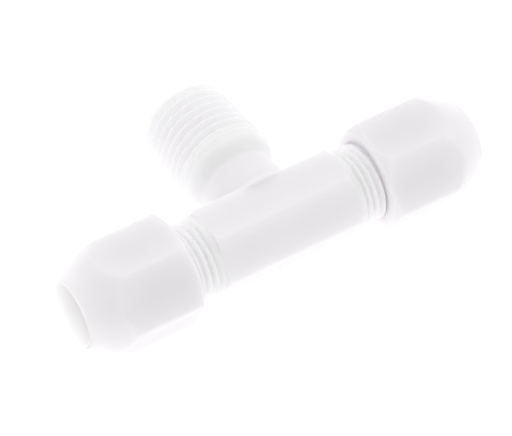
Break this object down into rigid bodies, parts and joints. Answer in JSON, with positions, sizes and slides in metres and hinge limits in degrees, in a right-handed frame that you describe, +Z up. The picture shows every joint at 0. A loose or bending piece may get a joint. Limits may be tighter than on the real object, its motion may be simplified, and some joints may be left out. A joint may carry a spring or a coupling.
{
  "type": "compression tee fitting",
  "caption": "White plastic tee with a screw-on compression nut at each run end and a male tapered pipe thread on the side branch.",
  "frame": {"origin": "where the run axis and the branch axis meet, at the middle of the body", "axes": "+X along the run toward the right nut, +Y along the branch toward its thread, +Z up with the nuts' flats level"},
  "size_m": [0.0606, 0.0314, 0.0144],
  "materials": {
    "body_plastic": "milky white natural plastic, semi-matt",
    "nut_plastic": "milky white natural plastic, semi-matt",
    "grab_ring_plastic": "hard ivory-white plastic",
    "spacer_plastic": "white plastic",
    "seal_rubber": "black moulded rubber"
  },
  "bodies": {
    "tee": {"tee_body": "body_plastic"},
    "left_nut": {"left_nut": "nut_plastic"},
    "left_grip": {"left_grab_ring": "grab_ring_plastic"},
    "left_spacer": {"left_spacer": "spacer_plastic"},
    "left_seal": {"left_seal_ring": "seal_rubber"},
    "right_nut": {"right_nut": "nut_plastic"},
    "right_grip": {"right_grab_ring": "grab_ring_plastic"},
    "right_spacer": {"right_spacer": "spacer_plastic"},
    "right_seal": {"right_seal_ring": "seal_rubber"}
  },
  "joints": [
    {"name": "left_nut_turn", "type": "hinge", "parent": "left_grip", "child": "left_nut", "pos_m": [-0.022, 0, 0], "axis": [-1, 0, 0], "range_deg": [0, 2520]},
    {"name": "left_grip_slide", "type": "slide", "parent": "tee", "child": "left_grip", "axis": [-1, 0, 0], "range_m": [0, 0.007]},
    {"name": "left_spacer_slide", "type": "slide", "parent": "tee", "child": "left_spacer", "axis": [-1, 0, 0], "range_m": [0, 0.00467]},
    {"name": "left_seal_slide", "type": "slide", "parent": "tee", "child": "left_seal", "axis": [-1, 0, 0], "range_m": [0, 0.00233]},
    {"name": "right_nut_turn", "type": "hinge", "parent": "right_grip", "child": "right_nut", "pos_m": [0.022, 0, 0], "axis": [1, 0, 0], "range_deg": [0, 2520]},
    {"name": "right_grip_slide", "type": "slide", "parent": "tee", "child": "right_grip", "axis": [1, 0, 0], "range_m": [0, 0.007]},
    {"name": "right_spacer_slide", "type": "slide", "parent": "tee", "child": "right_spacer", "axis": [1, 0, 0], "range_m": [0, 0.00467]},
    {"name": "right_seal_slide", "type": "slide", "parent": "tee", "child": "right_seal", "axis": [1, 0, 0], "range_m": [0, 0.00233]}
  ],
  "couplings": [
    {"joint": "left_nut_turn", "follows": "left_grip_slide", "rad_per_m": 6283.2},
    {"joint": "left_spacer_slide", "follows": "left_grip_slide", "ratio": 0.6666},
    {"joint": "left_seal_slide", "follows": "left_grip_slide", "ratio": 0.3332},
    {"joint": "right_nut_turn", "follows": "right_grip_slide", "rad_per_m": 6283.2},
    {"joint": "right_spacer_slide", "follows": "right_grip_slide", "ratio": 0.6666},
    {"joint": "right_seal_slide", "follows": "right_grip_slide", "ratio": 0.3332}
  ]
}
